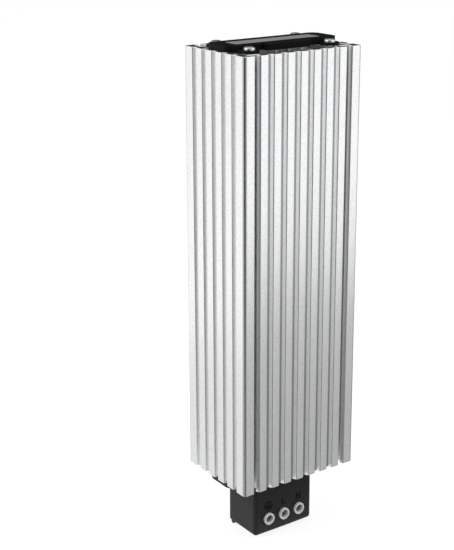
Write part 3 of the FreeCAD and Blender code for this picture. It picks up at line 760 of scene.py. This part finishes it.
screw_rows = screw_row_tree()
cap_screw = [(0, -10.0), (0.5, -10.0), (1.5, -8.6), (1.5, 0), (2.9, 0), (2.9, 0.55), (2.72, 1.0),
             (2.35, 1.38), (1.8, 1.64), (1.0, 1.77), (0, 1.8)]
cross = {"Slots": 2, "Slot Length": 0.0030, "Slot Width": 0.0007, "Slot Depth": 0.0022, "Head Top": 0.0018,
         "Twist": 1.5, "Material": zinc}
ear_face = 0.1112
for name, node, height, turn, seed in (("cap_screws", "top_cap_screws", ear_face, 0.0, 3),
                                       ("flange_screws", "housing_screws", -ear_face, math.pi, 8)):
    row = grown_piece(name, lathe(name, cap_screw), screw_rows, {
        **cross, "Across": 2, "Along": 2, "Start": (-port_x * MM, profile_y - port_y * MM, height),
        "Across Step": (2 * port_x * MM, 0, 0), "Along Step": (0, 2 * port_y * MM, 0),
        "Turn": (turn, 0, 0), "Seed": seed}, outward=False)
    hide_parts(node)
    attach(row, "root")

clip_screw = [(0, -6.5), (0.4, -6.5), (1.4, -5.3), (1.4, 0), (2.6, 0), (2.6, 0.5), (2.42, 0.95), (2.05, 1.3),
              (1.5, 1.55), (0.8, 1.68), (0, 1.7)]
row = grown_piece("clip_fixing_screws", lathe("clip_fixing_screws", clip_screw), screw_rows, {
    **cross, "Across": 2, "Along": 1, "Start": (-0.0117, 0, 0), "Across Step": (0.0234, 0, 0),
    "Slot Length": 0.0026, "Head Top": 0.0017, "Turn": (-math.pi / 2, 0, 0), "Seed": 5}, outward=False)
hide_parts("clip_screws")
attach(row, "root")

clamp_screw = [(0, -6.2), (1.0, -6.2), (1.45, -5.8), (1.45, 0), (2.05, 0), (2.05, 1.5), (1.85, 1.74),
               (1.3, 1.8), (0, 1.8)]
# The clamp screws are teal plated zinc, their colour darkened further as painted shade for the shadowed insides
# of the towers they sit in.
blued_zinc_painted_shade = plain_metal("blued_zinc_painted_shade", (0.17, 0.215, 0.22), 0.26)
clamp_pitch = 0.0098
row = grown_piece("clamp_screws", lathe("clamp_screws", clamp_screw), screw_rows, {
    "Slots": 1, "Slot Length": 0.006, "Slot Width": 0.0007, "Slot Depth": 0.0016, "Head Top": 0.0018,
    "Across": 3, "Along": 1, "Start": (-clamp_pitch, -0.0356, -0.1356), "Across Step": (clamp_pitch, 0, 0),
    "Turn": (math.pi / 2, 0, 0), "Twist": 1.2, "Seed": 4, "Material": blued_zinc_painted_shade}, outward=False)
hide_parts("clamp_screw_pe", "clamp_screw_l", "clamp_screw_n")
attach(row, "root")


# Raised marks on the front of the terminal housing, moulded with it: the earth sign in a ring
# over the first clamp, and L and N over the other two.
def mark_mesh(name, outlines):
    shape = bpy.data.curves.new(name, "CURVE")
    shape.dimensions = "2D"
    shape.fill_mode = "BOTH"
    shape.extrude = 0.000125
    shape.bevel_depth = 0.00006
    for points in outlines:
        line = shape.splines.new("POLY")
        line.points.add(len(points) - 1)
        line.use_cyclic_u = True
        for target, (x, y) in zip(line.points, points):
            target.co = (x * MM, y * MM, 0, 1)
    drawing = bpy.data.objects.new(name, shape)
    scene.collection.objects.link(drawing)
    bpy.context.view_layer.update()
    mesh = bpy.data.meshes.new_from_object(drawing.evaluated_get(bpy.context.evaluated_depsgraph_get()))
    bpy.data.objects.remove(drawing)
    mesh.name = name
    return mesh


def ring(radius, width):
    steps = [2 * math.pi * k / 48 for k in range(48)]
    return [[(r * math.cos(angle), r * math.sin(angle)) for angle in steps] for r in (radius, radius - width)]


def bar(x0, y0, x1, y1):
    return [(x0, y0), (x1, y0), (x1, y1), (x0, y1)]


# The marks get a darker, less glossy black than the housing they are moulded with: painted shade that makes
# them read dark.
mark_painted_shade_black = moulded_black("raised_marks", (0.004, 0.004, 0.004), 0.5, 0.09)
earth_bars = [bar(-0.25, -0.15, 0.25, 1.75), bar(-1.4, -0.45, 1.4, -0.1), bar(-0.95, -1.0, 0.95, -0.65),
              bar(-0.45, -1.55, 0.45, -1.2)]
letter_l = [(-1.0, -1.75), (1.15, -1.75), (1.15, -1.3), (-0.55, -1.3), (-0.55, 1.75), (-1.0, 1.75)]
letter_n = [(-1.35, -1.85), (-0.9, -1.85), (-0.9, 1.1), (0.85, -1.85), (1.35, -1.85), (1.35, 1.85), (0.9, 1.85),
            (0.9, -1.05), (-0.85, 1.85), (-1.35, 1.85)]
box_front, mark_height = -0.0375, -0.1284
for name, x, outlines in (("earth_mark", -clamp_pitch, ring(2.5, 0.34) + earth_bars),
                          ("mark_l", 0.0, [letter_l]), ("mark_n", clamp_pitch, [letter_n])):
    mesh = mark_mesh(name, outlines)
    mesh.transform(Matrix.Translation((x, box_front, mark_height)) @ Matrix.Rotation(math.pi / 2, 4, "X"))
    mesh.materials.clear()
    mesh.materials.append(mark_painted_shade_black)
    mark = bpy.data.objects.new(name, mesh)
    scene.collection.objects.link(mark)
    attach(mark, "root")


# What is inside keeps its CAD shape: square brass clamps, the leads and the earth strap, and the
# heating stack of tiles between electrodes and insulators, pressed by a wavy spring.
brass = plain_metal("nickelled_brass", (0.72, 0.60, 0.36), 0.3)
copper = plain_metal("tinned_copper", (0.78, 0.55, 0.42), 0.35)
soft_aluminium = plain_metal("electrode_sheet", (0.78, 0.79, 0.80), 0.38, (60, 900, 900))
ceramic = plain_metal("ptc_ceramic", (0.20, 0.19, 0.18), 0.72, (900, 900, 900), 0.3, 0.0)
board = plain_metal("insulating_board", (0.62, 0.53, 0.36), 0.55, (700, 700, 700), 0.2, 0.0)
silicone = plain_metal("lead_covering", (0.70, 0.68, 0.62), 0.5, (500, 500, 500), 0.1, 0.0)
inner = {
    brass: ("clamp_tube_pe", "clamp_tube_l", "clamp_tube_n"),
    copper: ("earth_strap",),
    silicone: ("lead_l", "lead_n"),
    soft_aluminium: ("electrode_front", "electrode_back"),
    ceramic: ("ptc_tile_1", "ptc_tile_2", "ptc_tile_3", "ptc_tile_4", "ptc_tile_5"),
    board: ("insulator_front", "insulator_back", "tile_frame"),
    spring: ("pressure_leaf",),
}
for material, nodes in inner.items():
    for node in nodes:
        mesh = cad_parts[node].data
        mesh.materials.clear()
        mesh.materials.append(material)
